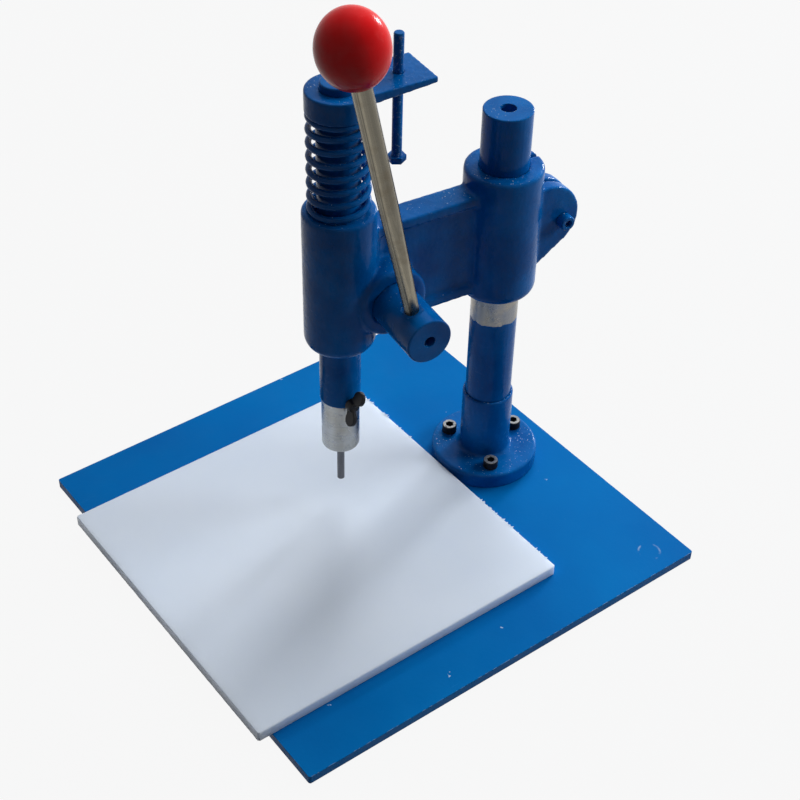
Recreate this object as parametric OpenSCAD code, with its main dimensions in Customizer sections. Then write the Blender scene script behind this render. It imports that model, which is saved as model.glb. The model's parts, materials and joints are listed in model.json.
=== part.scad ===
// Column-type hand press for rivets, eyelets and snaps.
// The arm hangs on a round column and carries a rack-and-pinion ram with a lever,
// a return spring and an adjustable depth stop. Millimetres, +Z up.
// +Y runs from the operator to the column, +X to the lever side.
// The origin is on the underside of the base plate, in the middle of the whole press.

/* [Base plate and board] */
// Length of each side of the square base plate
plate_w = 400; // [380:1:420]
// Thickness of the base plate
plate_t = 8; // [6:1:10]
// Distance of the plate's middle behind the origin
plate_y = 4.8; // [4.8:0.1:4.8]
// Width of the plastic cutting board
board_w = 290; // [240:1:300]
// Length of the plastic cutting board
board_l = 300; // [240:1:300]
// Thickness of the plastic cutting board
board_t = 10; // [8:1:12]
// Sideways place of the board's middle
board_x = 5.5; // [-20:0.5:20]
// Front to back place of the board's middle
board_y = -58.2; // [-58.2:0.1:-58.2]

/* [Column] */
// Radius of the round column
column_r = 20; // [18:0.5:20]
// Height of the column's top above the table
column_top = 367; // [360:1:400]
// Sideways place of the column's axis
column_x = -2.5; // [-20:0.5:20]
// Front to back place of the column's axis
column_y = 139.5; // [139:0.1:139.5]
// Radius of the round foot flange
flange_r = 47.3; // [44:0.1:47.3]
// Thickness of the foot flange
flange_t = 15; // [12:0.5:18]
// Outer radius of the socket above the flange
socket_r = 22.2; // [21.5:0.1:25]
// Height of the socket's top above the table
socket_top = 86; // [70:1:100]
// Radius of the circle through the flange screws
screw_circle_r = 34; // [32:0.5:36]
// Direction of the front flange screw, in degrees from +X
screw_turn = -30; // [-60:1:0]

/* [Arm] */
// Distance from the column's axis to the ram's axis
reach = 148; // [140:1:160]
// Turn of the arm about the column, in degrees
arm_yaw = -7.4; // [-15:0.1:15]
// Outer radius of the clamp sleeve on the column
sleeve_r = 32.3; // [30:0.1:36]
// Lower end of the clamp sleeve
sleeve_bottom = 198; // [190:1:205]
// Upper end of the clamp sleeve
sleeve_top = 317; // [310:1:320]
// Outer radius of the ram housing
housing_r = 29.2; // [28:0.1:31]
// Lower end of the ram housing
housing_bottom = 195; // [188:1:200]
// Upper end of the ram housing
housing_top = 323; // [318:1:328]
// Half width of the arm's top and bottom flanges
arm_half_w = 12.4; // [11:0.1:14]
// Half thickness of the arm's web
web_half_t = 8.5; // [5:0.1:10]
// Lower face of the arm
arm_bottom = 208; // [204:1:212]
// Upper face of the arm
arm_top = 302; // [298:1:306]
// Thickness of the arm's top and bottom flanges
arm_flange_t = 8.5; // [7:0.5:12]
// Radius of the rounded clamp ear
ear_r = 31; // [28:0.5:31]
// Distance from the column's axis back to the middle of the clamp ear
ear_y = 36.5; // [33:0.5:36.5]
// Half width over both clamp ears
ear_half_w = 13.5; // [12:0.5:15]
// Width of the clamp slot
slot_w = 3; // [2:0.5:3.5]

/* [Ram] */
// Radius of the ram
ram_r = 17; // [17:0.5:17]
// Radius of the bare lower end of the ram
ram_end_r = 16; // [15:0.5:16.5]
// Lower end of the ram
ram_bottom = 87; // [84:1:95]
// Height at which the bare lower end starts
ram_step = 138; // [130:1:138]
// Radius of the ram's top spigot
spigot_r = 13.6; // [12:0.1:14]
// Height of the top of the spigot
spigot_top = 431; // [428:1:434]
// Radius of the punch pin
pin_r = 3.2; // [2:0.1:4]
// Lower end of the punch pin
pin_bottom = 44.5; // [44:0.5:60]
// Radius of the punch shank inside the ram
shank_r = 6; // [5:0.5:8]

/* [Spring and stop] */
// Outer radius of the spring cap
cap_r = 25.1; // [24:0.1:27]
// Lower face of the spring cap
cap_bottom = 407; // [404:1:410]
// Upper face of the spring cap and of the stop arm
cap_top = 425; // [422:1:428]
// Half width of the stop arm
stop_half_w = 21.5; // [20:0.5:24]
// Reach of the stop arm behind the ram's axis
stop_reach = 70.5; // [60:0.5:75]
// Mean radius of the return spring
spring_r = 22.4; // [22:0.1:23.5]
// Radius of the spring wire
wire_r = 2.5; // [2:0.1:2.7]
// Pitch of the open turns of the spring
spring_pitch = 10.8; // [9:0.1:12]
// Distance of the stop bolt behind the ram's axis
stop_bolt_y = 49.3; // [45:0.1:55]
// Lower end of the stop bolt
stop_bolt_bottom = 350; // [340:1:360]
// Upper end of the stop bolt
stop_bolt_top = 456; // [450:1:460]

/* [Pinion and lever] */
// Gear module of the pinion and the rack
gear_m = 2; // [2:0.5:2]
// Number of pinion teeth
gear_teeth = 17; // [17:1:17]
// Height of the pinion axis
pinion_z = 243; // [240:1:246]
// End of the pinion shaft on the lever side
shaft_end = 87; // [80:1:90]
// Radius of the round pad around the shaft
pad_r = 30; // [26:0.5:31]
// Face of the pad on the lever side
pad_face = 33; // [31:0.5:36]
// Place of the lever along the pinion shaft
lever_x = 65.5; // [60:0.5:70]
// Lean of the lever towards the operator, in degrees
lever_lean = 12.4; // [0:0.1:30]
// Distance from the pinion axis to the middle of the knob
lever_l = 255; // [200:1:280]
// Radius of the lever rod at the shaft
rod_low_r = 5.8; // [5.5:0.1:7]
// Radius of the lever rod at the knob
rod_top_r = 7.5; // [7:0.1:9]
// Radius of the ball knob
ball_r = 26; // [20:0.5:30]
// Half height of the ball knob along the lever
ball_half_h = 29; // [20:0.5:32]

/* [Hidden] */

blue = [0.02, 0.20, 0.52];
steel = [0.72, 0.71, 0.68];
black = [0.05, 0.05, 0.06];
red = [0.70, 0.04, 0.05];
white = [0.88, 0.92, 0.97];

eps = 0.5;             // how far a cutting shape runs past the face it cuts
run_gap = 0.05;        // radial clearance of a running fit
face_gap = 0.3;        // gap between flat faces of parts that move past each other
corner_r = 2;          // rounding of the base plate's corners

m8_r = 4;
m8_head_r = 6.5;
m8_head_h = 8;
m8_key = 6;
m6_r = 3;
m6_key = 3;
key_depth = 4.5;

gear_pitch_r = gear_m * gear_teeth / 2;
gear_tip_r = gear_pitch_r + gear_m;
gear_root_r = gear_pitch_r - 1.25 * gear_m;
tip_relief = 0.2;                            // tooth tips stay this far inside the shaft's round
rack_pitch = PI * gear_m;
pressure_angle = 20;
backlash = 0.05;
rack_line = ram_r - 3;                       // rack pitch line, behind the ram's axis
rack_from = pinion_z - 3 * rack_pitch;
rack_gaps = 10;
pinion_y = rack_line + gear_pitch_r;         // pinion axis, behind the ram's axis
tooth_half_l = 13.5;                         // half length of the toothed stretch

journal_r = 12;                              // thin end of the pinion shaft
journal_from = -20;
far_face = -31;                              // outer face of the casting away from the lever
washer_r = 18;
washer_t = 3;
spot_r = 9;
sink = 0.2;                                  // a blend starts this far inside the round it leaves
spot_depth = 1.6;
shaft_hole_r = 4.8;
shaft_hole_depth = 12;

rod_thread_r = 5;
rod_from = 4;
rod_shoulder = gear_tip_r - spot_depth;
taper_l = 105;                               // length of the tapered stretch of the rod
knob_socket = 20;                            // how far the knob's insert reaches up

clamp_y = 52.5;                              // clamp screw behind the column's axis
clamp_z = 255.5;
ear_z = 259;
wing_z = 142;
wing_tilt = 23;
set_screw_z = 416;
spring_seat_turns = 0.6;                     // nearly flat turn at each end of the spring
spring_turns = 8.1;
spring_span = cap_bottom - housing_top - 2 * wire_r;
spring_phase = 75;                           // direction in which the lowest turn starts
wire_sides = 8;
steps_per_turn = 20;

// ---------- frames ----------

// Arm frame: X to the lever side, Y from the ram's axis to the column.
module in_arm() {
    translate([column_x, column_y, 0])
        rotate([0, 0, arm_yaw])
            translate([0, -reach, 0])
                children();
}

// Lever frame: Z runs out along the lever from the pinion axis.
module in_lever() {
    in_arm()
        translate([lever_x, pinion_y, pinion_z])
            rotate([lever_lean, 0, 0])
                children();
}

// A solid that is drawn upright and then laid along the arm frame's X axis.
module along_x(x, y, z) {
    translate([x, y, z])
        rotate([0, 90, 0])
            children();
}

// ---------- shared shapes ----------

// Half profile of a turned body from z0 to z1 with rounded outer edges.
module round_profile(r, z0, z1, low, high) {
    hull_steps = 10;
    low_arc = [for (i = [0 : hull_steps])
        let (t = -90 + 90 * i / hull_steps)
        [r - low + low * cos(t), z0 + low + low * sin(t)]];
    high_arc = [for (i = [0 : hull_steps])
        let (t = 90 * i / hull_steps)
        [r - high + high * cos(t), z1 - high + high * sin(t)]];
    polygon(concat([[0, z0]], low_arc, high_arc, [[0, z1]]));
}

module turned(r, z0, z1, low, high) {
    rotate_extrude($fn = 96)
        round_profile(r, z0, z1, low, high);
}

// Socket head cap screw standing on z = 0, head up.
module cap_screw(shank_radius, shank_l, head_r, head_h, key) {
    bevel = 0.6;
    difference() {
        union() {
            turned(head_r, 0, head_h, 0.05, bevel);
            translate([0, 0, -shank_l])
                cylinder(r = shank_radius, h = shank_l + eps, $fn = 48);
        }
        translate([0, 0, head_h - key_depth])
            cylinder(r = key / 2 / cos(30), h = key_depth + eps, $fn = 6);
    }
}

// ---------- base ----------

module flange_screw_places() {
    translate([column_x, column_y, 0])
        for (i = [0 : 2])
            rotate([0, 0, screw_turn + 120 * i])
                translate([screw_circle_r, 0, 0])
                    children();
}

module rounded_sheet(w, l, t, r) {
    linear_extrude(t) {
        square([w - 2 * r, l], center = true);
        square([w, l - 2 * r], center = true);
        for (x = [-1, 1], y = [-1, 1])
            translate([x * (w / 2 - r), y * (l / 2 - r)])
                circle(r = r, $fn = 32);
    }
}

module base_plate() {
    color(blue)
        difference() {
            translate([0, plate_y, 0])
                rounded_sheet(plate_w, plate_w, plate_t, corner_r);
            flange_screw_places()
                translate([0, 0, -eps])
                    cylinder(r = m8_r, h = plate_t + 2 * eps, $fn = 48);
        }
}

module cutting_board() {
    color(white)
        translate([board_x, board_y, plate_t])
            rounded_sheet(board_w, board_l, board_t, 1);
}

module column_flange() {
    fillet = 3;
    edge = 1.5;
    top = plate_t + flange_t;
    arc = [for (i = [0 : 8])
        let (t = 270 - 90 * i / 8)
        [socket_r + fillet + fillet * cos(t), top + fillet + fillet * sin(t)]];
    color(blue)
        translate([column_x, column_y, 0])
            difference() {
                rotate_extrude($fn = 96)
                    polygon(concat(
                        [[0, plate_t], [flange_r, plate_t], [flange_r, top - edge],
                         [flange_r - edge, top]],
                        arc,
                        [[socket_r, socket_top - 1], [socket_r - 1, socket_top], [0, socket_top]]
                    ));
                translate([0, 0, plate_t - eps])
                    cylinder(r = column_r + run_gap, h = socket_top, $fn = 96);
                for (i = [0 : 2])
                    rotate([0, 0, screw_turn + 120 * i])
                        translate([screw_circle_r, 0, 0])
                            cylinder(r = m8_r + 0.5, h = 2 * top, $fn = 48);
            }
}

module flange_screws() {
    color(black)
        flange_screw_places()
            translate([0, 0, plate_t + flange_t])
                cap_screw(m8_r - 0.1, flange_t + plate_t - 1, m8_head_r, m8_head_h, m8_key);
}

module column() {
    centre_r = 6.5;
    color(blue)
        translate([column_x, column_y, 0])
            difference() {
                turned(column_r, plate_t + face_gap, column_top, 1, 1);
                translate([0, 0, column_top - 10])
                    cylinder(r = centre_r, h = 10 + eps, $fn = 48);
            }
}

// ---------- arm ----------

// Plan of a straight wall of half width w that runs from a boss of radius r, along +Y,
// with a hollow fillet of radius f on both sides.
module filleted_wall(r, w, f, wall_l) {
    steps = 8;
    f_y = sqrt(pow(r - sink + f, 2) - pow(w + f, 2));
    start = 180 + atan(f_y / (w + f));
    arc = [for (i = [0 : steps])
        let (t = start + (180 - start) * i / steps)
        [w + f + f * cos(t), f_y + f * sin(t)]];
    right = concat([[w, 0]], arc, [[w, wall_l]]);
    left = [for (i = [len(right) - 1 : -1 : 0]) [-right[i][0], right[i][1]]];
    polygon(concat(right, left));
}

// Wall of half width w between the housing and the sleeve, blended into both.
module arm_wall(w, housing_fillet, sleeve_fillet) {
    half = reach / 2 + 1;
    filleted_wall(housing_r, w, housing_fillet, half);
    translate([0, reach])
        rotate(180)
            filleted_wall(sleeve_r, w, sleeve_fillet, half);
}

// Beam with flanges at its top and bottom edges.
module arm_beam() {
    for (z = [arm_bottom, arm_top - arm_flange_t])
        translate([0, 0, z])
            linear_extrude(arm_flange_t)
                arm_wall(arm_half_w, 8, 5);
    translate([0, 0, arm_bottom + 1])
        linear_extrude(arm_top - arm_bottom - 2)
            arm_wall(web_half_t, 15, 7);
}

// Concave blend from the arm's top face up the sleeve or the housing.
module beam_blend(wall_y, towards, size) {
    translate([arm_half_w, wall_y, arm_top])
        rotate([90, 0, -90])
            linear_extrude(2 * arm_half_w)
                difference() {
                    translate([min(0, towards * size), -1])
                        square([size, size + 1]);
                    translate([towards * size, size - sink / 2])
                        circle(r = size, $fn = 48);
                }
}

// Side view of the clamp ear: a round with a straight run down to the sleeve.
module ear_outline() {
    circle(r = ear_r, $fn = 96);
    low_dir = -62;
    polygon([
        [0, 0],
        [ear_r * cos(low_dir), ear_r * sin(low_dir)],
        [-4, -ear_r - 10],
        [-14, -ear_r - 10]
    ]);
}

module clamp_ears() {
    translate([-ear_half_w, reach + ear_y, ear_z])
        rotate([90, 0, 90])
            linear_extrude(2 * ear_half_w)
                ear_outline();
}

module arm_bores() {
    translate([0, 0, housing_bottom - eps])
        cylinder(r = ram_r + run_gap, h = housing_top - housing_bottom + 2 * eps, $fn = 96);
    translate([0, reach, sleeve_bottom - eps])
        cylinder(r = column_r + run_gap, h = sleeve_top - sleeve_bottom + 2 * eps, $fn = 96);
    along_x(journal_from, pinion_y, pinion_z)
        cylinder(r = gear_tip_r + run_gap, h = pad_face - journal_from + eps, $fn = 96);
    along_x(far_face - eps, pinion_y, pinion_z)
        cylinder(r = journal_r + run_gap, h = journal_from - far_face + 2 * eps, $fn = 96);
    translate([-slot_w / 2, reach + column_r - 2, sleeve_bottom - eps])
        cube([slot_w, ear_y + ear_r, sleeve_top - sleeve_bottom + 2 * eps]);
    along_x(-ear_half_w - eps, reach + clamp_y, clamp_z)
        cylinder(r = m8_r + run_gap, h = 2 * ear_half_w + 2 * eps, $fn = 48);
}

module arm_casting() {
    color(blue)
        in_arm()
            difference() {
                union() {
                    turned(housing_r, housing_bottom, housing_top, 10, 2.5);
                    translate([0, reach, 0])
                        turned(sleeve_r, sleeve_bottom, sleeve_top, 9, 3);
                    arm_beam();
                    beam_blend(reach - sleeve_r + 4, -1, 14);
                    beam_blend(housing_r - 3, 1, 12);
                    along_x(far_face, pinion_y, pinion_z)
                        turned(pad_r, 0, pad_face - far_face, 2, 4);
                    clamp_ears();
                }
                arm_bores();
            }
}

module clamp_screw() {
    color(blue)
        in_arm()
            along_x(ear_half_w + face_gap, reach + clamp_y, clamp_z)
                cap_screw(m8_r, 2 * ear_half_w + 2, m8_head_r, m8_head_h, m8_key);
}

// ---------- pinion shaft ----------

function inv_deg(a) = tan(a) * 180 / PI - a;

// Half angle of a gear tooth at radius r.
function tooth_half(r) =
    let (base_r = gear_pitch_r * cos(pressure_angle), a = r > base_r ? acos(base_r / r) : 0)
    90 / gear_teeth - backlash / gear_pitch_r * 180 / PI + inv_deg(pressure_angle) - inv_deg(a);

module gear_tooth() {
    base_r = gear_pitch_r * cos(pressure_angle);
    radii = [for (i = [0 : 5]) base_r + (gear_tip_r - tip_relief - base_r) * i / 5];
    root_half = tooth_half(radii[0]);
    inner = gear_root_r - 1;
    up = [for (r = radii) [r * cos(tooth_half(r)), r * sin(tooth_half(r))]];
    down = [for (i = [5 : -1 : 0])
        [radii[i] * cos(tooth_half(radii[i])), -radii[i] * sin(tooth_half(radii[i]))]];
    polygon(concat(
        [[inner * cos(root_half), -inner * sin(root_half)],
         [inner * cos(root_half), inner * sin(root_half)]],
        up, down
    ));
}

// Teeth drawn so that a gap faces the rack when the shaft lies along X.
module gear_outline() {
    circle(r = gear_root_r, $fn = 96);
    for (i = [0 : gear_teeth - 1])
        rotate(-90 + 180 / gear_teeth + 360 / gear_teeth * i)
            gear_tooth();
}

module pinion_shaft() {
    color(blue)
        in_arm()
            difference() {
                union() {
                    along_x(tooth_half_l - eps, pinion_y, pinion_z)
                        turned(gear_tip_r, 0, shaft_end - tooth_half_l + eps, 0.05, 1.2);
                    along_x(-tooth_half_l, pinion_y, pinion_z)
                        linear_extrude(2 * tooth_half_l)
                            gear_outline();
                    along_x(journal_from + face_gap, pinion_y, pinion_z)
                        cylinder(r = gear_tip_r, $fn = 96,
                                 h = eps - tooth_half_l - journal_from - face_gap);
                    along_x(far_face - face_gap, pinion_y, pinion_z)
                        cylinder(r = journal_r, h = 20, $fn = 96);
                }
                along_x(shaft_end - shaft_hole_depth, pinion_y, pinion_z)
                    cylinder(r = shaft_hole_r, h = shaft_hole_depth + eps, $fn = 48);
                along_x(far_face - face_gap - eps, pinion_y, pinion_z)
                    cylinder(r = m8_r, h = 20, $fn = 48);
                translate([lever_x, pinion_y, pinion_z])
                    rotate([lever_lean, 0, 0]) {
                        translate([0, 0, rod_from - 1])
                            cylinder(r = rod_thread_r, h = gear_tip_r, $fn = 48);
                        translate([0, 0, rod_shoulder])
                            cylinder(r = spot_r, h = gear_tip_r, $fn = 48);
                    }
            }
}

module retaining_washer() {
    color(steel)
        in_arm()
            along_x(far_face - face_gap - washer_t, pinion_y, pinion_z)
                difference() {
                    turned(washer_r, 0, washer_t, 0.5, 0.5);
                    translate([0, 0, -eps])
                        cylinder(r = m8_r, h = washer_t + 2 * eps, $fn = 48);
                }
}

module retaining_bolt() {
    head_h = 5.3;
    color(black)
        in_arm()
            along_x(far_face - face_gap - washer_t, pinion_y, pinion_z) {
                translate([0, 0, -head_h])
                    cylinder(r = m8_head_r / cos(30), h = head_h, $fn = 6);
                cylinder(r = m8_r - 0.05, h = 18, $fn = 48);
            }
}

// ---------- lever ----------

module lever_rod() {
    top = lever_l - ball_half_h + 2;
    taper_end = rod_shoulder + taper_l;
    color(steel)
        in_lever()
            rotate_extrude($fn = 64)
                polygon([
                    [0, rod_from],
                    [rod_thread_r - 0.05, rod_from],
                    [rod_thread_r - 0.05, rod_shoulder],
                    [rod_low_r, rod_shoulder],
                    [rod_top_r, taper_end],
                    [rod_top_r, top],
                    [rod_thread_r - 0.05, top],
                    [rod_thread_r - 0.05, top + knob_socket - 2],
                    [0, top + knob_socket - 2]
                ]);
}

function ball_point(t) = [ball_r * cos(t), ball_half_h * sin(t)];

module ball_knob() {
    low = -asin(0.94);
    steps = 40;
    top = lever_l - ball_half_h + 2;
    color(red)
        in_lever()
            difference() {
                translate([0, 0, lever_l])
                    rotate_extrude($fn = 96)
                        polygon(concat(
                            [[0, ball_half_h * sin(low)]],
                            [for (i = [0 : steps]) ball_point(low + (90 - low) * i / steps)]
                        ));
                translate([0, 0, top - 10])
                    cylinder(r = 8.5, h = 10 + knob_socket, $fn = 64);
            }
}

module knob_insert() {
    top = lever_l - ball_half_h + 2;
    color(steel)
        in_lever()
            difference() {
                translate([0, 0, top + 0.1])
                    cylinder(r = 8.5, h = knob_socket - 0.1, $fn = 64);
                translate([0, 0, top - eps])
                    cylinder(r = rod_thread_r, h = knob_socket - 1.5 + eps, $fn = 48);
            }
}

// ---------- ram ----------

// Gaps between the rack teeth, in side view: X is the arm's Y, Y is height.
module rack_cut() {
    far = ram_r + 3;
    tip = rack_line + gear_m;
    root = rack_line - 1.25 * gear_m;
    slope = tan(pressure_angle);
    half = rack_pitch / 4 + backlash;
    translate([tip, rack_from - rack_pitch / 2])
        square([far - tip, rack_gaps * rack_pitch]);
    for (i = [0 : rack_gaps - 1])
        translate([0, rack_from + (i - 0.5) * rack_pitch + rack_pitch])
            polygon([
                [far, half + gear_m * slope],
                [tip, half + gear_m * slope],
                [root, half - 1.25 * gear_m * slope],
                [root, -half + 1.25 * gear_m * slope],
                [tip, -half - gear_m * slope],
                [far, -half - gear_m * slope]
            ]);
}

module ram() {
    color(blue)
        in_arm()
            difference() {
                union() {
                    turned(ram_end_r, ram_bottom, ram_step + eps, 2, 0.05);
                    translate([0, 0, ram_step])
                        cylinder(r = ram_r, h = cap_bottom - ram_step, $fn = 96);
                    turned(spigot_r, cap_bottom - eps, spigot_top, 0.05, 1);
                }
                translate([0, 0, ram_bottom - eps])
                    cylinder(r = shank_r + 0.05, h = wing_z + 10 - ram_bottom, $fn = 48);
                along_x(0, 0, wing_z)
                    cylinder(r = m6_r + run_gap, h = ram_r + 3, $fn = 48);
                translate([-ram_r - 2, 0, 0])
                    rotate([90, 0, 90])
                        linear_extrude(2 * ram_r + 4)
                            rack_cut();
            }
}

module punch() {
    shank_top = wing_z + 8;
    color(steel)
        in_arm() {
            turned(shank_r, ram_bottom + 1, shank_top, 0.5, 0.5);
            turned(pin_r, pin_bottom, ram_bottom + 1 + eps, 0.3, 0.05);
        }
}

module wing_outline() {
    lobe_r = 6.2;
    lobe_x = 10;
    lobe_y = 8;
    for (side = [-1, 1]) {
        translate([side * lobe_x, lobe_y])
            circle(r = lobe_r, $fn = 48);
        polygon([
            [0, 0],
            [side * 3, 0],
            [side * (lobe_x + 4.2), lobe_y - 4.5],
            [side * (lobe_x - 4.2), lobe_y + 4.5],
            [0, 5]
        ]);
    }
}

module wing_screw() {
    hub_from = ram_r + 1;
    color(black)
        in_arm()
            along_x(0, 0, wing_z) {
                translate([0, 0, shank_r + face_gap])
                    cylinder(r = m6_r, h = hub_from, $fn = 48);
                translate([0, 0, hub_from])
                    cylinder(r1 = 5.6, r2 = 4.6, h = 7, $fn = 48);
                rotate([0, 0, -wing_tilt])
                    translate([0, 1.8, hub_from])
                        rotate([90, 0, 0])
                            linear_extrude(3.6)
                                wing_outline();
            }
}

// ---------- spring, cap and stop ----------

module spring_cap() {
    thick_root = 8.5;
    thick_tip = 4.6;
    color(blue)
        in_arm()
            difference() {
                union() {
                    turned(cap_r, cap_bottom, cap_top, 0.8, 1.2);
                    translate([-stop_half_w, 0, 0])
                        rotate([90, 0, 90])
                            linear_extrude(2 * stop_half_w)
                                polygon([
                                    [cap_r - 17, cap_top],
                                    [cap_r - 17, cap_top - thick_root],
                                    [stop_reach, cap_top - thick_tip],
                                    [stop_reach, cap_top]
                                ]);
                }
                translate([0, 0, cap_bottom - eps])
                    cylinder(r = spigot_r, h = cap_top - cap_bottom + 2 * eps, $fn = 96);
                translate([0, stop_bolt_y, cap_bottom])
                    cylinder(r = m8_r + run_gap, h = cap_top - cap_bottom + eps, $fn = 48);
                along_x(-cap_r - 1, 0, set_screw_z)
                    cylinder(r = m6_r, h = cap_r, $fn = 48);
            }
}

module cap_set_screw() {
    color(black)
        in_arm()
            along_x(-spigot_r - 9, 0, set_screw_z)
                difference() {
                    cylinder(r = m6_r - 0.05, h = 8.9, $fn = 48);
                    translate([0, 0, -eps])
                        cylinder(r = m6_key / 2 / cos(30), h = 3.5, $fn = 6);
                }
}

// Height of the wire's middle after t turns: flat at the ends, even in between.
function spring_rise(t) =
    t < spring_seat_turns ? 0.25 * t / spring_seat_turns * (t / spring_seat_turns)
    : t > spring_turns - spring_seat_turns
        ? spring_span - 0.25 * pow((spring_turns - t) / spring_seat_turns, 2)
        : 0.25 + (spring_span - 0.5) * (t - spring_seat_turns)
            / (spring_turns - 2 * spring_seat_turns);

module return_spring() {
    rings = ceil(spring_turns * steps_per_turn);
    pts = [for (i = [0 : rings], k = [0 : wire_sides - 1])
        let (t = spring_turns * i / rings,
             a = spring_phase + 360 * t,
             w = 360 * k / wire_sides,
             r = spring_r + wire_r * cos(w))
        [r * cos(a), r * sin(a), housing_top + wire_r + spring_rise(t) + wire_r * sin(w)]];
    sides = [for (i = [0 : rings - 1], k = [0 : wire_sides - 1])
        let (n = (k + 1) % wire_sides)
        [i * wire_sides + k, i * wire_sides + n, (i + 1) * wire_sides + n,
         (i + 1) * wire_sides + k]];
    first = [for (k = [wire_sides - 1 : -1 : 0]) k];
    last = [for (k = [0 : wire_sides - 1]) rings * wire_sides + k];
    color(blue)
        in_arm()
            polyhedron(pts, concat(sides, [first], [last]));
}

module stop_bolt() {
    head_h = 5.3;
    color(blue)
        in_arm()
            translate([0, stop_bolt_y, 0]) {
                translate([0, 0, stop_bolt_bottom])
                    cylinder(r = m8_head_r / cos(30), h = head_h, $fn = 6);
                turned(m8_r, stop_bolt_bottom + head_h - eps, stop_bolt_top, 0.05, 0.6);
            }
}

base_plate();
cutting_board();
column_flange();
flange_screws();
column();
arm_casting();
clamp_screw();
pinion_shaft();
retaining_washer();
retaining_bolt();
lever_rod();
ball_knob();
knob_insert();
ram();
spring_cap();
cap_set_screw();
return_spring();
stop_bolt();
wing_screw();
punch();
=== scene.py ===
"""Looks of a column-type rivet punch press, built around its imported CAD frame."""
import json
import math
import random

import bmesh
import bpy
import numpy as np
from mathutils import Matrix, Vector, noise


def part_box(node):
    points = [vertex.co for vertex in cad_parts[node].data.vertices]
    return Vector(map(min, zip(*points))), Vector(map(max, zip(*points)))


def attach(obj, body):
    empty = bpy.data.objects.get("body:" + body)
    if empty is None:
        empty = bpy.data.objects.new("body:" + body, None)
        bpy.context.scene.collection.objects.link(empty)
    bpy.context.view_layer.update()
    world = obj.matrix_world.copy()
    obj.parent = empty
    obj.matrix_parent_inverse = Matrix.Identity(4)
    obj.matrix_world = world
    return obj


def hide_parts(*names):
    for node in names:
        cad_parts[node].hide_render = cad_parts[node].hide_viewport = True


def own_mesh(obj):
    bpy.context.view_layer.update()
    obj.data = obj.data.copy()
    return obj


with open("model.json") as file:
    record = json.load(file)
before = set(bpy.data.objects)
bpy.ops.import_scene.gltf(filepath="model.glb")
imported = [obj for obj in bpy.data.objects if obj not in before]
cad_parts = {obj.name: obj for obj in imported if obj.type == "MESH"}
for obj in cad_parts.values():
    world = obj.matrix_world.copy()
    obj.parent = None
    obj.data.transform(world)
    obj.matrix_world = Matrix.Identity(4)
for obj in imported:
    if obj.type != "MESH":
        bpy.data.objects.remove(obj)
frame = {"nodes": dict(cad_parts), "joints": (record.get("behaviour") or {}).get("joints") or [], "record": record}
nodes = frame["nodes"]
joints = {j["name"]: j for j in frame["joints"]}
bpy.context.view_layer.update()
random.seed(7)

# ---------------------------------------------------------------- places

ARM_X = Vector(joints["lever_turn"]["axis"]).normalized()      # along the pinion shaft
UP = Vector((0, 0, 1))
ARM_Y = UP.cross(ARM_X)                                        # from the ram to the column


def middle(node):
    """Middle of a CAD node's box."""
    lo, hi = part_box(node)
    return (lo + hi) / 2


punch_mid = middle("punch")
RAM = Vector((punch_mid.x, punch_mid.y, 0))                    # foot of the ram's axis
PINION = Vector(joints["lever_turn"]["pos_m"])
COLUMN = Vector(joints["arm_swivel"]["pos_m"])
COLUMN.z = 0


def placement(axes, place):
    """Matrix whose X, Y and Z run along the given axes."""
    m = Matrix.Identity(4)
    for i, axis in enumerate(axes):
        m.col[i][:3] = axis
    m.col[3][:3] = place
    return m


def reach(node, axis):
    """Lowest and highest reach of a CAD node along an axis, in metres from the ram's foot."""
    found = [(v.co - RAM).dot(axis) for v in nodes[node].data.vertices]
    return min(found), max(found)


# ---------------------------------------------------------------- node materials

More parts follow.
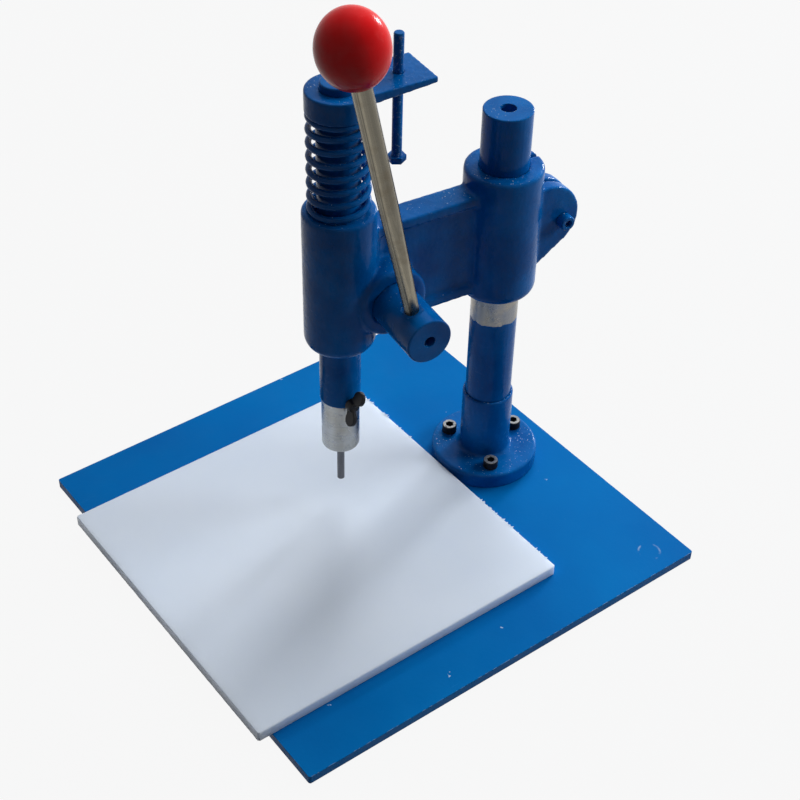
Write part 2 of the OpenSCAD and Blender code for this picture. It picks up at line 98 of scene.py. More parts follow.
class Shader:
    """A Principled material and short calls to wire its nodes."""

    def __init__(self, name, color, metallic=0.0, roughness=0.4, **sockets):
        self.mat = bpy.data.materials.new(name)
        self.mat.use_nodes = True
        self.tree = self.mat.node_tree
        self.bsdf = self.tree.nodes["Principled BSDF"]
        self.bsdf.inputs["Base Color"].default_value = (*color, 1)
        self.bsdf.inputs["Metallic"].default_value = metallic
        self.bsdf.inputs["Roughness"].default_value = roughness
        for key, value in sockets.items():
            self.bsdf.inputs[key.replace("_", " ")].default_value = value
        self.coords = self.node("ShaderNodeTexCoord").outputs["Object"]

    def node(self, kind, **values):
        made = self.tree.nodes.new(kind)
        for key, value in values.items():
            setattr(made, key, value)
        return made

    def put(self, target, value):
        """Sets a socket's value, or links another socket to it."""
        if isinstance(value, bpy.types.NodeSocket):
            self.tree.links.new(value, target)
        else:
            target.default_value = value

    def noise(self, scale, detail=4.0, roughness=0.5, stretch=None):
        made = self.node("ShaderNodeTexNoise")
        made.inputs["Scale"].default_value = scale
        made.inputs["Detail"].default_value = detail
        made.inputs["Roughness"].default_value = roughness
        self.put(made.inputs["Vector"], self.stretched(stretch) if stretch else self.coords)
        return made.outputs["Fac"]

    def stretched(self, scale):
        made = self.node("ShaderNodeMapping")
        made.inputs["Scale"].default_value = scale
        self.put(made.inputs["Vector"], self.coords)
        return made.outputs["Vector"]

    def math(self, operation, a, b=0.0, clamp=False):
        made = self.node("ShaderNodeMath", operation=operation, use_clamp=clamp)
        self.put(made.inputs[0], a)
        self.put(made.inputs[1], b)
        return made.outputs[0]

    def band(self, value, low, high, to_low=0.0, to_high=1.0):
        """Maps a value from low..high to to_low..to_high, held at the ends."""
        made = self.node("ShaderNodeMapRange")
        self.put(made.inputs["Value"], value)
        made.inputs["From Min"].default_value = low
        made.inputs["From Max"].default_value = high
        made.inputs["To Min"].default_value = to_low
        made.inputs["To Max"].default_value = to_high
        return made.outputs["Result"]

    def mix(self, share, a, b):
        made = self.node("ShaderNodeMix", data_type="RGBA")
        self.put(made.inputs["Factor"], share)
        for socket, value in ((made.inputs[6], a), (made.inputs[7], b)):
            self.put(socket, value if isinstance(value, bpy.types.NodeSocket) else (*value, 1))
        return made.outputs[2]

    def axis(self, name):
        """One of the coordinates X, Y and Z."""
        made = self.node("ShaderNodeSeparateXYZ")
        self.put(made.inputs[0], self.coords)
        return made.outputs[name]

    def edges(self, radius=0.0015, low=0.04, high=0.16):
        """1 on sharp outer edges, 0 on flats: how far a rounded normal leaves the true one."""
        bevel = self.node("ShaderNodeBevel", samples=6)
        bevel.inputs["Radius"].default_value = radius
        flat = self.node("ShaderNodeNewGeometry").outputs["Normal"]
        dot = self.node("ShaderNodeVectorMath", operation="DOT_PRODUCT")
        self.put(dot.inputs[0], bevel.outputs["Normal"])
        self.put(dot.inputs[1], flat)
        return self.band(dot.outputs["Value"], 1 - low, 1 - high)

    def facing_up(self):
        """1 on surfaces that face up."""
        apart = self.node("ShaderNodeSeparateXYZ")
        self.put(apart.inputs[0], self.node("ShaderNodeNewGeometry").outputs["Normal"])
        return self.band(apart.outputs["Z"], 0.7, 0.95)

    def pointed(self, low, high):
        """1 on the outer corners of a finely meshed piece."""
        return self.band(self.node("ShaderNodeNewGeometry").outputs["Pointiness"], low, high)

    def bump(self, height, strength, distance, rounding=None):
        made = self.node("ShaderNodeBump")
        made.inputs["Strength"].default_value = strength
        made.inputs["Distance"].default_value = distance
        self.put(made.inputs["Height"], height)
        if rounding:
            bevel = self.node("ShaderNodeBevel", samples=6)
            bevel.inputs["Radius"].default_value = rounding
            self.put(made.inputs["Normal"], bevel.outputs["Normal"])
        self.put(self.bsdf.inputs["Normal"], made.outputs["Normal"])


PAINT = (0.0005, 0.122, 0.395)
PAINT_DARK = (0.0003, 0.070, 0.260)
PLATE = (0.0006, 0.150, 0.430)
PLATE_DARK = (0.0008, 0.105, 0.350)
CHIP = (0.50, 0.60, 0.70)
STEEL = (0.46, 0.46, 0.45)
STEEL_STAIN = (0.36, 0.31, 0.22)
RING_STEEL = (0.21, 0.22, 0.24)
OXIDE = (0.010, 0.010, 0.013)
WORN_OXIDE = (0.52, 0.52, 0.52)
PAINT_SHINE, PLATE_SHINE = 0.07, 0.05

# Heights where the paint ends, and half the width of its edge, in metres.
PAINT_EDGE = 0.0002
BARE_RAM_TOP = 0.138
BARE_RING_LOW, BARE_RING_HIGH = 0.170, 0.203

plate_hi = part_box("base_plate")[1]
RING_MARK = Vector((plate_hi.x - 0.022, plate_hi.y - 0.030, plate_hi.z))     # left by a tin on the plate
RING_MARK_R = 0.009
HEADS_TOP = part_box("flange_screws")[1].z


def blue_enamel(name, cast, pebble=0.35):
    """Glossy blue enamel, chipped on its edges, with light specks on upward faces that are partly chips and partly
    painted highlight. cast is for a smoothed casting, else the edges are sharp.
    """
    s = Shader(name, PAINT, Specular_IOR_Level=PAINT_SHINE)
    paint = s.mix(s.band(s.noise(24, 3), 0.35, 0.65), PAINT_DARK, PAINT)
    corner = s.pointed(0.535, 0.60) if cast else s.edges(0.0010)
    worn = s.math("MULTIPLY", corner, s.band(s.noise(330, 5, 0.65), 0.56, 0.63))
    # light specks on upward faces only: partly paint chips, partly a painted highlight for the glints on the lit
    # tops
    chips_and_glints = s.math("MULTIPLY", s.band(s.noise(560, 2), 0.67, 0.70), s.band(s.noise(28, 2), 0.42, 0.58))
    chips_and_glints = s.math("MULTIPLY", chips_and_glints, s.facing_up())
    paint = s.mix(s.math("MAXIMUM", worn, chips_and_glints), paint, CHIP)
    s.put(s.bsdf.inputs["Base Color"], paint)
    s.put(s.bsdf.inputs["Roughness"], s.band(s.noise(140, 4), 0.3, 0.7, 0.11, 0.33))
    lumps = s.math("ADD", s.math("MULTIPLY", s.noise(420, 3), 0.5), s.noise(110, 2))
    s.bump(lumps, pebble, 0.0005, None if cast else 0.0009)
    return s


def bared(name, ragged, low, high, color, stain):
    """Blue enamel over steel, with the paint gone between two ragged lines (or below one, with low None)."""
    s = blue_enamel(name, False)
    height = s.math("ADD", s.axis("Z"), s.band(s.noise(130, 5, 0.7), 0.25, 0.75, -ragged, ragged))
    tear = s.band(s.noise(34, 2), 0.4, 0.6, -ragged, ragged)
    height = s.math("ADD", height, tear)
    bare = s.band(height, high - PAINT_EDGE, high + PAINT_EDGE, 1, 0)
    if low:
        bare = s.math("MULTIPLY", s.band(height, low - PAINT_EDGE, low + PAINT_EDGE), bare)
    steel = s.mix(s.band(s.noise(42, 4), 0.45, 0.70, 0, stain), color, STEEL_STAIN)
    scratch = s.noise(9, 4, 0.65, stretch=(1, 1, 70))
    steel = s.mix(s.band(scratch, 0.55, 0.75, 0, 0.5), steel, (0.20, 0.20, 0.20))
    paint = s.bsdf.inputs["Base Color"].links[0].from_socket
    s.put(s.bsdf.inputs["Base Color"], s.mix(bare, paint, steel))
    s.put(s.bsdf.inputs["Metallic"], bare)
    gloss = s.bsdf.inputs["Roughness"].links[0].from_socket
    s.put(s.bsdf.inputs["Roughness"], s.math("ADD", gloss, s.math("MULTIPLY", bare, 0.08)))
    return s


def plate_paint():
    """Satin blue sheet with fine scratches, chips and a faint ring left by a tin."""
    s = Shader("blue_plate", PLATE, roughness=0.38, Specular_IOR_Level=PLATE_SHINE)
    paint = s.mix(s.band(s.noise(6, 4), 0.3, 0.7), PLATE_DARK, PLATE)
    lines = s.band(s.noise(26, 6, 0.7, stretch=(34, 1.1, 1)), 0.67, 0.72, 0, 0.22)
    cross = s.band(s.noise(31, 5, 0.7, stretch=(1.3, 27, 1)), 0.69, 0.73, 0, 0.18)
    paint = s.mix(s.math("MAXIMUM", lines, cross), paint, (0.06, 0.30, 0.60))
    chips = s.math("MULTIPLY", s.band(s.noise(95, 3, 0.6), 0.735, 0.75), s.band(s.noise(8, 2), 0.45, 0.6))
    away = s.node("ShaderNodeVectorMath", operation="DISTANCE")
    s.put(away.inputs[0], s.coords)
    away.inputs[1].default_value = RING_MARK
    off_ring = s.math("ABSOLUTE", s.math("SUBTRACT", away.outputs["Value"], RING_MARK_R))
    ring = s.band(off_ring, 0.0004, 0.0012, 0.6, 0)
    ring = s.math("MULTIPLY", ring, s.band(s.noise(70, 3), 0.45, 0.6))
    rim = s.math("MULTIPLY", s.edges(0.0009), s.band(s.noise(210, 4), 0.5, 0.6, 0, 0.7))
    marks = s.math("MAXIMUM", s.math("MAXIMUM", chips, ring), rim)
    s.put(s.bsdf.inputs["Base Color"], s.mix(marks, paint, CHIP))
    s.put(s.bsdf.inputs["Roughness"], s.band(s.noise(50, 5), 0.3, 0.7, 0.30, 0.48))
    s.bump(s.math("ADD", s.noise(260, 3), s.math("MULTIPLY", lines, -0.6)), 0.2, 0.0004, 0.0007)
    return s


def board_plastic():
    """Milky polyethylene that lets light through its edges, with fine knife cuts."""
    s = Shader("white_board", (0.72, 0.78, 0.89), roughness=0.40, Specular_IOR_Level=0.4,
               Subsurface_Weight=0.5, Subsurface_Scale=0.02)
    s.bsdf.inputs["Subsurface Radius"].default_value = (1.0, 1.0, 1.1)
    s.put(s.bsdf.inputs["Base Color"], s.mix(s.band(s.noise(6, 3), 0.3, 0.7),
                                             (0.69, 0.75, 0.87), (0.76, 0.81, 0.92)))
    cuts = s.band(s.noise(24, 5, 0.7, stretch=(1, 46, 1)), 0.62, 0.70)
    more = s.band(s.noise(28, 5, 0.7, stretch=(52, 1, 1)), 0.64, 0.70)
    s.put(s.bsdf.inputs["Roughness"], s.band(s.noise(40, 4), 0.3, 0.7, 0.34, 0.50))
    grooves = s.math("MULTIPLY", s.math("MAXIMUM", cuts, more), -0.5)
    s.bump(s.math("ADD", s.noise(500, 2), grooves), 0.12, 0.0003)
    return s


def turned_steel(name, color, roughness=0.3):
    """Metal with fine turning marks round upright pieces."""
    s = Shader(name, color, metallic=1.0, roughness=roughness)
    dull = tuple(c * 0.5 for c in color)
    s.put(s.bsdf.inputs["Base Color"], s.mix(s.band(s.noise(60, 5), 0.45, 0.75, 0, 0.35), color, dull))
    marks = s.noise(6, 3, 0.6, stretch=(1, 1, 420))
    s.put(s.bsdf.inputs["Roughness"], s.band(marks, 0.3, 0.7, roughness - 0.08, roughness + 0.14))
    s.bump(marks, 0.2, 0.0002, 0.0004)
    return s


def lever_steel():
    """Drawn bar with painted reflection (light and dark stripes along its length) and rust-coloured stains."""
    s = Shader("lever_steel", STEEL, metallic=1.0, roughness=0.26)
    across = s.node("ShaderNodeVectorMath", operation="DOT_PRODUCT")
    s.put(across.inputs[0], s.coords)
    across.inputs[1].default_value = ARM_X
    # painted reflection: noise taken across the rod's width paints light and dark stripes down its length,
    # standing in for what the bar mirrors
    reflection_stripes = s.node("ShaderNodeTexNoise", noise_dimensions="1D")
    s.put(reflection_stripes.inputs["W"], across.outputs["Value"])
    reflection_stripes.inputs["Scale"].default_value = 420
    reflection_stripes.inputs["Detail"].default_value = 3
    color = s.mix(s.band(reflection_stripes.outputs["Fac"], 0.38, 0.62), (0.045, 0.046, 0.043), (0.26, 0.235, 0.18))
    color = s.mix(s.band(s.noise(70, 4), 0.50, 0.75, 0, 0.5), color, (0.10, 0.075, 0.045))
    s.put(s.bsdf.inputs["Base Color"], color)
    s.put(s.bsdf.inputs["Roughness"], s.band(s.noise(260, 3), 0.3, 0.7, 0.20, 0.36))
    s.bump(reflection_stripes.outputs["Fac"], 0.2, 0.0002)
    return s


def black_steel(name, bright_above=None):
    """Black oxide, worn to steel on edges and, for screws, on the top of the head."""
    s = Shader(name, OXIDE, roughness=0.34, Specular_IOR_Level=0.15)
    worn = s.math("MULTIPLY", s.edges(0.0006), s.band(s.noise(420, 4), 0.40, 0.58))
    if bright_above:
        top = s.band(s.axis("Z"), bright_above - 0.0003, bright_above + 0.0001)
        worn = s.math("MAXIMUM", worn, s.math("MULTIPLY", top, s.band(s.noise(500, 3), 0.25, 0.5)))
    s.put(s.bsdf.inputs["Base Color"], s.mix(worn, OXIDE, WORN_OXIDE))
    s.put(s.bsdf.inputs["Metallic"], worn)
    s.bump(s.noise(600, 3), 0.25, 0.0002)
    return s


def red_ball():
    """Polished red plastic with faint fingermarks."""
    s = Shader("red_knob", (0.55, 0.004, 0.005), roughness=0.20, Specular_IOR_Level=0.10)
    s.put(s.bsdf.inputs["Base Color"], s.mix(s.band(s.noise(35, 3), 0.35, 0.65),
                                             (0.74, 0.005, 0.007), (0.64, 0.004, 0.005)))
    s.put(s.bsdf.inputs["Roughness"], s.band(s.noise(160, 4), 0.35, 0.65, 0.17, 0.27))
    s.bump(s.noise(150, 3), 0.06, 0.0003)
    return s


MATERIALS = {
    "blue_plate": plate_paint(),
    "white_board": board_plastic(),
    "blue_paint": blue_enamel("blue_paint", False),
    "cast_paint": blue_enamel("cast_paint", True, 0.30),
    "column_paint": bared("column_paint", 0.0016, BARE_RING_LOW, BARE_RING_HIGH, RING_STEEL, 0.7),
    "ram_paint": bared("ram_paint", 0.0011, None, BARE_RAM_TOP, STEEL, 0.5),
    "bare_steel": turned_steel("bare_steel", STEEL),
    "lever_steel": lever_steel(),
    "pin_steel": turned_steel("pin_steel", (0.15, 0.15, 0.16), 0.28),
    "black_oxide": black_steel("black_oxide"),
    "head_oxide": black_steel("head_oxide", HEADS_TOP),
    "red_knob": red_ball(),
    "brass_insert": turned_steel("brass_insert", (0.62, 0.45, 0.17), 0.28),
}
FINISH = {
    "base_plate": "blue_plate", "cutting_board": "white_board", "column_flange": "cast_paint",
    "flange_screws": "head_oxide", "column": "column_paint", "arm_casting": "cast_paint",
    "clamp_screw": "blue_paint", "pinion_shaft": "blue_paint", "retaining_washer": "bare_steel",
    "retaining_bolt": "black_oxide", "lever_rod": "lever_steel", "ball_knob": "red_knob",
    "knob_insert": "brass_insert", "ram": "ram_paint", "spring_cap": "cast_paint",
    "cap_set_screw": "black_oxide", "return_spring": "blue_paint", "stop_bolt": "blue_paint",
    "wing_screw": "black_oxide", "punch": "pin_steel",
}
BODY = {n: body for body, members in frame["record"]["behaviour"]["bodies"].items() for n in members}
for name, key in FINISH.items():
    mesh = nodes[name].data
    mesh.materials.clear()
    mesh.materials.append(MATERIALS[key].mat)

# ---------------------------------------------------------------- makers of detailed pieces

WELD = 1e-6                                    # vertices nearer than this are one
LUMPS_PER_METRE = 300
NEAR_BORE = 0.0006                             # a vertex this near a bore's radius is on its wall
END_RISE = 0.00025                             # how far the flat end turns of the spring climb
GRIP = 0.00022                                 # depth of a screw head's knurls
TIP, TIP_SLOPE, FLANK = 0.0008, 0.8, 2.6       # of a thread: chamfered end, its slope, steepness of a flank
EDGE_STEP = 0.0016                             # between vertices along a sawn edge
EDGE_WAVES, EDGE_LAYERS = 300, 90              # per metre along and across a sawn edge


def skin(bm, rings):
    """Closed solid through rings of equally many vertices."""
    sides = len(rings[0])
    for one, two in zip(rings, rings[1:]):
        for k in range(sides):
            n = (k + 1) % sides
            bm.faces.new((one[k], one[n], two[n], two[k]))
    bm.faces.new(rings[0][::-1])
    bm.faces.new(rings[-1])


def stand_in(name, bm, node, sharp=None):
    """Turns a bmesh into a piece that rides with a CAD node's body and is shown in its place."""
    mesh = bpy.data.meshes.new(name)
    bm.to_mesh(mesh)
    bm.free()
    return place_piece(name, mesh, node, sharp=sharp)


def place_piece(name, mesh, node, sharp=None):
    """Shows a mesh in a CAD node's place. sharp is the angle from which its edges stay sharp, in degrees."""
    mesh.polygons.foreach_set("use_smooth", [True] * len(mesh.polygons))
    if sharp:
        mesh.set_sharp_from_angle(angle=math.radians(sharp))
    mesh.materials.clear()
    mesh.materials.append(MATERIALS[FINISH[node]].mat)
    obj = bpy.data.objects.new(name, mesh)
    bpy.context.scene.collection.objects.link(obj)
    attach(obj, BODY[node])
    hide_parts(node)
    return obj


def relaxed_copy(node, name, voxel, rounds):
    """Mesh of a CAD solid, remade from small cells and relaxed, which rounds its edges."""
    bm = bmesh.new()
    bm.from_mesh(nodes[node].data)
    bmesh.ops.remove_doubles(bm, verts=bm.verts, dist=WELD)
    rough = bpy.data.meshes.new(name + "_rough")
    bm.to_mesh(rough)
    bm.free()
    obj = bpy.data.objects.new(name + "_rough", rough)
    bpy.context.scene.collection.objects.link(obj)
    remesh = obj.modifiers.new("remesh", "REMESH")
    remesh.mode = "VOXEL"
    remesh.voxel_size = voxel
    relax = obj.modifiers.new("relax", "SMOOTH")
    relax.factor = 0.5
    relax.iterations = rounds
    ready = obj.evaluated_get(bpy.context.evaluated_depsgraph_get())
    mesh = bpy.data.meshes.new_from_object(ready)
    mesh.name = name
    bpy.data.objects.remove(obj)
    return mesh


def snap_to_bores(co, normal, bores):
    """Moves the vertices on the bores' walls to the exact radius, and tells which they are."""
    snapped = np.zeros(len(co), bool)
    for point, direction, radius in bores:
        d = np.array(direction)
        along = (co - np.array(point)) @ d
        foot = np.array(point) + along[:, None] * d
        out = co - foot
        dist = np.linalg.norm(out, axis=1)
        inward = (out * normal).sum(1) < -0.5 * dist
        near = (abs(dist - radius) < NEAR_BORE) & inward
        co[near] = foot[near] + out[near] / dist[near, None] * radius
        snapped |= near
    return snapped


def softened(node, name, voxel, rounds, bores, lump=0.0):
    """The CAD solid with its edges rounded like a casting's. bores keep their exact radius:
    each is (point on the axis, direction, radius). lump is the height of its surface's lumps."""
    mesh = relaxed_copy(node, name, voxel, rounds)
    count = len(mesh.vertices)
    co, normal = np.zeros(count * 3, np.float32), np.zeros(count * 3, np.float32)
    mesh.vertices.foreach_get("co", co)
    mesh.vertices.foreach_get("normal", normal)
    co, normal = co.reshape(-1, 3).astype(float), normal.reshape(-1, 3)
    in_bore = snap_to_bores(co, normal, bores)
    if lump:
        for i in np.where(~in_bore)[0]:
            shift = noise.noise(Vector(co[i] * LUMPS_PER_METRE)) * lump
            co[i] += normal[i] * (shift - lump * 0.5)
    mesh.vertices.foreach_set("co", co.astype(np.float32).ravel())
    mesh.update()
    return place_piece(name, mesh, node)


def helix_wire(node, name, radius, wire, low, high, turns, seat, start):
    """Compression spring with nearly flat end turns."""
    per_turn, sides = 56, 14
    bm = bmesh.new()
    rings = []
    steps = round(turns * per_turn)
    climb = high - low - 2 * wire
    for i in range(steps + 1):
        t = turns * i / steps
        if t < seat:
            rise = END_RISE * (t / seat) ** 2
        elif t > turns - seat:
            rise = climb - END_RISE * ((turns - t) / seat) ** 2
        else:
            rise = END_RISE + (climb - 2 * END_RISE) * (t - seat) / (turns - 2 * seat)
        a = math.radians(start) + 2 * math.pi * t
        ring = []
        for k in range(sides):
            w = 2 * math.pi * k / sides
            r = radius + wire * math.cos(w)
            place = RAM + ARM_X * r * math.cos(a) + ARM_Y * r * math.sin(a)
            place.z = low + wire + rise + wire * math.sin(w)
            ring.append(bm.verts.new(place))
        rings.append(ring)
    skin(bm, rings)
    return stand_in(name, bm, node)


def knurled_screw(bm, matrix, head_r, head_h, key, key_depth, shank_r, shank_l, knurls=36):
    """Socket head cap screw, head up, standing on the matrix's origin."""
    sides = knurls * 4
    hexagon = key / 2

    def ring(radius_at, z):
        return [bm.verts.new(matrix @ Vector((radius_at(a) * math.cos(a), radius_at(a) * math.sin(a), z)))
                for a in (2 * math.pi * k / sides for k in range(sides))]

    def knurl(depth):
        return lambda a: head_r - depth * (0.5 + 0.5 * math.cos(knurls * a))

    def hexed(a):
        step = math.pi / 3
        return hexagon / math.cos((a % step) - step / 2)

    def plain(r):
        return lambda a: r

    rings = [
        ring(plain(shank_r), -shank_l), ring(plain(shank_r), 0.0), ring(plain(head_r - 0.0004), 0.0),
        ring(plain(head_r), 0.0004), ring(plain(head_r), 0.0008), ring(knurl(GRIP), 0.0012),
        ring(knurl(GRIP), head_h - 0.0014), ring(plain(head_r - 0.0001), head_h - 0.0009),
        ring(plain(head_r - 0.0007), head_h), ring(lambda a: hexed(a) + 0.0004, head_h),
        ring(hexed, head_h - 0.0004), ring(hexed, head_h - key_depth),
        ring(plain(0.0008), head_h - key_depth - 0.0006),
    ]
    skin(bm, rings)


def thread(bm, matrix, r, pitch, depth, low, high, sides=32, per_pitch=8):
    """Threaded rod from low to high."""
    rows = round((high - low) / pitch * per_pitch)
    rings = []
    for i in range(rows + 1):
        z = low + (high - low) * i / rows
        fade = min(1, (z - low) / pitch, (high - z) / (pitch * 1.5))
        ring = []
        for k in range(sides):
            phase = (z / pitch - k / sides) % 1
            cut = depth * max(0.0, 1 - abs(phase - 0.5) * FLANK) * fade
            chamfer = max(0, TIP - (high - z)) * TIP_SLOPE
            a = 2 * math.pi * k / sides
            ring.append(bm.verts.new(matrix @ Vector(((r - cut - chamfer) * math.cos(a),
                                                      (r - cut - chamfer) * math.sin(a), z))))
        rings.append(ring)
    skin(bm, rings)


def hexagon_head(bm, matrix, across, low, high, chamfer):
    """Hexagon bolt head with turned corners on the side away from the shank."""
    r = across / 2 / math.cos(math.pi / 6)
    rings = []
    for radius, z in ((r * 0.90, low), (r, low + chamfer), (r, high - chamfer * 0.4), (r * 0.97, high)):
        rings.append([bm.verts.new(matrix @ Vector((radius * math.cos(math.pi / 3 * k),
                                                    radius * math.sin(math.pi / 3 * k), z)))
                      for k in range(6)])
    skin(bm, rings)


def burr(bm, first, last, rear, top):
    """Sliver that stands out of a sheet's rear edge, somewhere between two places along it."""
    x = random.uniform(first, last)
    z = top - random.uniform(0.0005, 0.003)
    wide = random.uniform(0.0006, 0.0018)
    long = random.uniform(0.0006, 0.0024)
    lift = random.uniform(-1, 1)
    root = [bm.verts.new((x + wide * u, rear - 0.0008, z + 0.0004 * v))
            for u, v in ((-1, -1), (1, -1), (1, 1), (-1, 1))]
    tip = bm.verts.new((x + wide * lift, rear + long, z + 0.0008 * lift))
    for k in range(4):
        bm.faces.new((root[k], root[(k + 1) % 4], tip))
    bm.faces.new(root[::-1])


def sawn_sheet(node, name, corner, wander, burrs):
    """Flat sheet with crushed corners, edges that wander a little and burrs along its rear edge.
    burrs lists (first x, last x, count) along that edge."""
    lo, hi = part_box(node)
    walk = []
    for start, end, out in (((lo.x, lo.y), (hi.x, lo.y), (0, -1)), ((hi.x, lo.y), (hi.x, hi.y), (1, 0)),
                            ((hi.x, hi.y), (lo.x, hi.y), (0, 1)), ((lo.x, hi.y), (lo.x, lo.y), (-1, 0))):
        start, end, out = Vector(start), Vector(end), Vector(out)
        count = round((end - start).length / EDGE_STEP)
        walk += [(start.lerp(end, i / count), out) for i in range(1, count)]
    bm = bmesh.new()
    rings = []
    for inset, z in ((corner, lo.z), (0, lo.z + corner), (0, hi.z - corner), (corner, hi.z)):
        ring = []
        for place, out in walk:
            spot = Vector((place.x * EDGE_WAVES, place.y * EDGE_WAVES, z * EDGE_LAYERS))
            uneven = (0.5 + 0.5 * noise.noise(spot)) * wander
            at = place - out * (inset + uneven)
            ring.append(bm.verts.new((at.x, at.y, z)))
        rings.append(ring)
    skin(bm, rings)
    for first, last, count in burrs:
        for _ in range(count):
            burr(bm, first, last, hi.y, hi.z)
    return stand_in(name, bm, node, sharp=30)


# ---------------------------------------------------------------- the pieces

CAST_LUMP = 0.00010                            # height of the sand-cast surface's lumps
RAM_BORE_R, COLUMN_BORE_R, SHAFT_BORE_R, JOURNAL_R = 0.01705, 0.02005, 0.01905, 0.01205
WIRE_R = 0.0025
SPRING_TURNS, SPRING_SEAT, SPRING_START = 8.1, 0.6, 75
HEAD_R, HEAD_H, KEY, KEY_DEPTH = 0.0065, 0.008, 0.006, 0.0045      # M8 socket cap screw
M8_R, M8_CLEAR_R, M8_PITCH = 0.004, 0.0039, 0.00125
SCREW_TURNS = (-30, 90, 210)                   # places of the flange's screws round the column
BOLT_HEAD_H, BOLT_ACROSS = 0.0053, 0.013


def castings():
    """The painted castings, with their running bores kept at the CAD's radius."""
    shaft = tuple(ARM_X)
    column_bore = (tuple(COLUMN), tuple(UP), COLUMN_BORE_R)
    arm_bores = [
        (tuple(RAM), tuple(UP), RAM_BORE_R), column_bore,
        (tuple(PINION), shaft, SHAFT_BORE_R), (tuple(PINION), shaft, JOURNAL_R),
    ]
    softened("arm_casting", "arm_casting_cast", 0.0012, 10, arm_bores, CAST_LUMP)
    softened("spring_cap", "spring_cap_cast", 0.0008, 6, [], CAST_LUMP)
    softened("column_flange", "column_flange_cast", 0.0009, 6, [column_bore], CAST_LUMP)


def spring():
    """Return spring at its rest length; the real one is pressed together by the ram's travel."""
    lo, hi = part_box("return_spring")
    coil_r = (hi.x - lo.x) / 2 - WIRE_R
    wire = helix_wire("return_spring", "return_spring_wire", coil_r, WIRE_R, lo.z, hi.z,
                      SPRING_TURNS, SPRING_SEAT, SPRING_START)
    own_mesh(wire)


def flange_screws():
    """Three socket cap screws round the column."""
    lo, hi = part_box("flange_screws")
    circle = hi.y - COLUMN.y - HEAD_R
    bm = bmesh.new()
    for degrees in SCREW_TURNS:
        a = math.radians(degrees)
        foot = COLUMN + Vector((math.cos(a), math.sin(a), 0)) * circle
        foot.z = hi.z - HEAD_H
        knurled_screw(bm, Matrix.Translation(foot) @ Matrix.Rotation(a, 4, "Z"),
                      HEAD_R, HEAD_H, KEY, KEY_DEPTH, M8_CLEAR_R, foot.z - lo.z)
    stand_in("flange_screws_knurled", bm, "flange_screws", sharp=40)


def clamp_screw():
    """Socket cap screw that closes the clamp, its head on the lever's side."""
    low, high = reach("clamp_screw", ARM_X)
    on_axis = Vector(joints["clamp_turn"]["pos_m"])
    foot = on_axis + ARM_X * (high - HEAD_H - (on_axis - RAM).dot(ARM_X))
    bm = bmesh.new()
    knurled_screw(bm, placement((ARM_Y, UP, ARM_X), foot),
                  HEAD_R, HEAD_H, KEY, KEY_DEPTH, M8_R, high - HEAD_H - low)
    stand_in("clamp_screw_knurled", bm, "clamp_screw", sharp=40)


def stop_bolt():
    """Threaded bolt that hangs head down from the stop arm."""
    lo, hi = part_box("stop_bolt")
    upright = placement((ARM_X, ARM_Y, UP), Vector((*middle("stop_bolt").xy, 0)))
    bm = bmesh.new()
    thread(bm, upright, M8_R, M8_PITCH, 0.00045, lo.z + BOLT_HEAD_H, hi.z)
    hexagon_head(bm, upright, BOLT_ACROSS, lo.z, lo.z + BOLT_HEAD_H, 0.0009)
    stand_in("stop_bolt_threaded", bm, "stop_bolt", sharp=50)


def board():
    """White board, with burrs on its rear edge on both sides of the flange."""
    lo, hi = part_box("cutting_board")
    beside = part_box("column_flange")[1].x + 0.004
    sawn_sheet("cutting_board", "cutting_board_sawn", 0.0006, 0.00025,
               [(beside, hi.x - 0.010, 40), (lo.x + 0.010, -beside, 26)])


castings()
spring()
flange_screws()
clamp_screw()
stop_bolt()
softened("wing_screw", "wing_screw_cast", 0.0005, 3, [])
board()

# ---------------------------------------------------------------- stage, camera and lights

FLOOR_HALF, FLOOR_DROP, FLOOR_WHITE = 30.0, 0.0005, 0.92
SKY_STRENGTH = 0.07
TARGET = Vector((0, 0, 0.2))                   # the lamps face this place
CAMERA_PLACE = (0.7894, -0.5815, 0.9858)
LOOK = Vector((2.087, 1.076, -0.501))          # world to camera, as a turn vector
SENSOR, LENS = 36, 70.62525
SHIFT = (0.095625, 0.02825)                    # of the picture's middle, in parts of its width


def shown(tree):
    """1 for rays that show the background: camera, glossy and transmission rays."""
    path = tree.nodes.new("ShaderNodeLightPath")
    total = path.outputs["Is Camera Ray"]
    for ray in ("Is Glossy Ray", "Is Transmission Ray"):
        either = tree.nodes.new("ShaderNodeMath")
        either.operation = "MAXIMUM"
        tree.links.new(total, either.inputs[0])
        tree.links.new(path.outputs[ray], either.inputs[1])
        total = either.outputs[0]
    return total


def white_floor():
    """Pale floor: mostly white to the camera and in reflections, the rest shaded by the object."""
    mat = bpy.data.materials.new("floor")
    mat.use_nodes = True
    tree = mat.node_tree
    bsdf = tree.nodes["Principled BSDF"]
    bsdf.inputs["Base Color"].default_value = (0.12, 0.13, 0.14, 1)
    bsdf.inputs["Roughness"].default_value = 0.9
    glow = tree.nodes.new("ShaderNodeEmission")
    glow.inputs["Strength"].default_value = 1.0
    mix = tree.nodes.new("ShaderNodeMixShader")
    share = tree.nodes.new("ShaderNodeMath")
    share.operation = "MULTIPLY"
    share.inputs[1].default_value = FLOOR_WHITE
    tree.links.new(shown(tree), share.inputs[0])
    tree.links.new(share.outputs[0], mix.inputs["Fac"])
    tree.links.new(bsdf.outputs[0], mix.inputs[1])
    tree.links.new(glow.outputs[0], mix.inputs[2])
    tree.links.new(mix.outputs[0], tree.nodes["Material Output"].inputs["Surface"])
    return mat


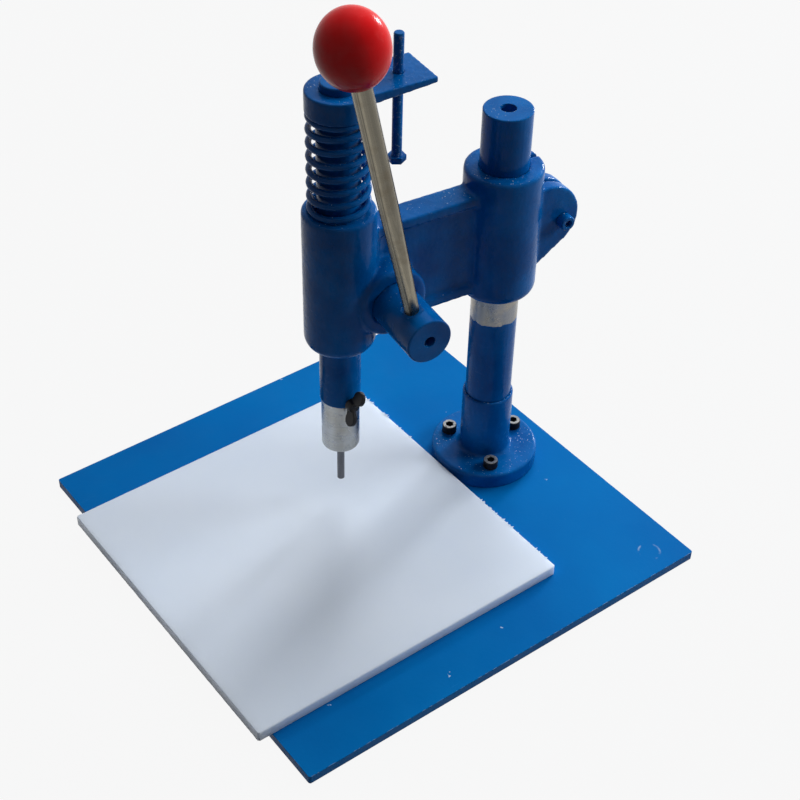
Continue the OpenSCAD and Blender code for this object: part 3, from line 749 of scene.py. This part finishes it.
def wide_floor():
    """Floor that reaches past the picture, just under the object."""
    ground = bpy.data.meshes.new("floor")
    bm = bmesh.new()
    bmesh.ops.create_grid(bm, x_segments=1, y_segments=1, size=FLOOR_HALF)
    bm.to_mesh(ground)
    bm.free()
    ground.materials.append(white_floor())
    obj = bpy.data.objects.new("floor", ground)
    obj.location.z = -FLOOR_DROP
    bpy.context.scene.collection.objects.link(obj)
    return obj


def studio_sky():
    """White background over a faint blue light from all sides."""
    world = bpy.data.worlds.new("studio")
    bpy.context.scene.world = world
    world.use_nodes = True
    tree = world.node_tree
    sky = tree.nodes["Background"]
    sky.inputs["Color"].default_value = (0.70, 0.82, 1.0, 1)
    sky.inputs["Strength"].default_value = SKY_STRENGTH
    seen = tree.nodes.new("ShaderNodeBackground")
    seen.inputs["Color"].default_value = (1, 1, 1, 1)
    mix = tree.nodes.new("ShaderNodeMixShader")
    tree.links.new(shown(tree), mix.inputs["Fac"])
    tree.links.new(sky.outputs[0], mix.inputs[1])
    tree.links.new(seen.outputs[0], mix.inputs[2])
    tree.links.new(mix.outputs[0], tree.nodes["World Output"].inputs["Surface"])


def softbox(name, place, size, watts, color=(1, 1, 1), mirrored=True):
    """Rectangular lamp that faces the object. mirrored lamps show in reflections."""
    lamp = bpy.data.lights.new(name, "AREA")
    lamp.shape = "RECTANGLE"
    lamp.size, lamp.size_y = size
    lamp.energy = watts
    lamp.color = color
    obj = bpy.data.objects.new(name, lamp)
    obj.location = place
    obj.rotation_euler = (TARGET - Vector(place)).to_track_quat("-Z", "Y").to_euler()
    obj.visible_glossy = mirrored
    bpy.context.scene.collection.objects.link(obj)


def photo_camera():
    """Camera at the photograph's angle."""
    turn = Matrix.Rotation(LOOK.length, 3, LOOK.normalized())
    camera = bpy.data.cameras.new("camera")
    camera.sensor_width = SENSOR
    camera.lens = LENS
    camera.shift_x, camera.shift_y = SHIFT
    eye = bpy.data.objects.new("camera", camera)
    eye.matrix_world = placement((turn[0], -turn[1], -turn[2]), CAMERA_PLACE)
    bpy.context.scene.collection.objects.link(eye)
    bpy.context.scene.camera = eye


floor = wide_floor()
studio_sky()
softbox("window", (-1.37, 1.97, 2.9), (2.2, 2.2), 88, (0.93, 0.97, 1.0), mirrored=False)
softbox("right_window", (0.55, 1.35, 0.85), (0.8, 0.6), 17, (0.90, 0.96, 1.0), mirrored=False)
softbox("rear_window", (-0.9, 2.9, 1.0), (0.45, 0.45), 42, (0.93, 0.97, 1.0))
softbox("overhead", (0.2, 0.1, 2.4), (1.8, 1.8), 8, mirrored=False)
photo_camera()
bpy.context.scene.view_settings.view_transform = "Standard"
